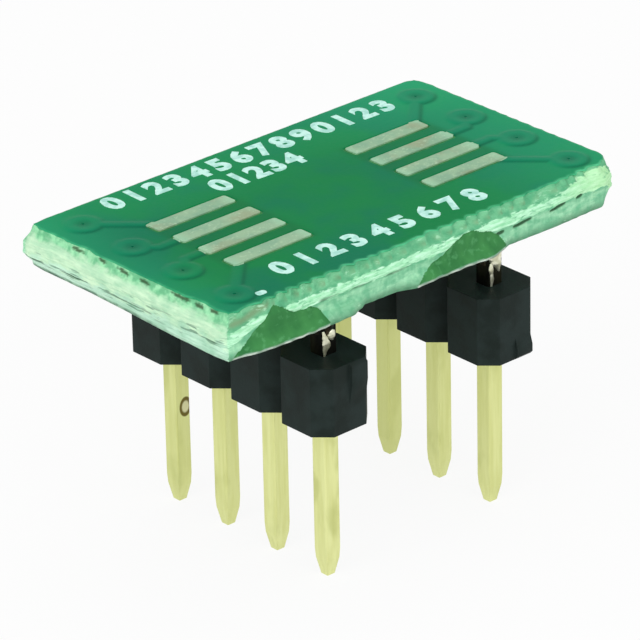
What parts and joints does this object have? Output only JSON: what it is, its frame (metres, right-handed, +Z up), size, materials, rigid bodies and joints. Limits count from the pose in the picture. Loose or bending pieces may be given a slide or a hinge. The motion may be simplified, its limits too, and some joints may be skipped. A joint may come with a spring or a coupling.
{
  "type": "smd to dip adapter board",
  "caption": "Small green circuit board with two banks of chip lands on top and two rows of square gold pins in black strips soldered underneath.",
  "frame": {"origin": "the plane of the pin tips, under the middle of the board", "axes": "+Z up, from the pins to the chip side; X along the board's long side, across the two rows of pins; Y along the rows"},
  "size_m": [0.0178, 0.0104, 0.0117],
  "materials": {
    "laminate": "snapped glass-epoxy laminate, fibrous",
    "solder_mask": "semi-gloss green film",
    "tinned_copper": "matt tin over copper",
    "strip_plastic": "moulded black, satin",
    "pin_gold": "pale gold plate, satin",
    "solder": "bright tin-lead, smooth"
  },
  "bodies": {
    "root": {"laminate": "laminate", "mask_top": "solder_mask", "mask_bottom": "solder_mask", "net_1": "tinned_copper", "net_2": "tinned_copper", "net_3": "tinned_copper", "net_4": "tinned_copper", "net_5": "tinned_copper", "net_6": "tinned_copper", "net_7": "tinned_copper", "net_8": "tinned_copper", "strip_left": "strip_plastic", "strip_right": "strip_plastic", "pin_1": "pin_gold", "pin_2": "pin_gold", "pin_3": "pin_gold", "pin_4": "pin_gold", "pin_5": "pin_gold", "pin_6": "pin_gold", "pin_7": "pin_gold", "pin_8": "pin_gold", "solder_1": "solder", "solder_2": "solder", "solder_3": "solder", "solder_4": "solder", "solder_5": "solder", "solder_6": "solder", "solder_7": "solder", "solder_8": "solder"}
  },
  "joints": []
}
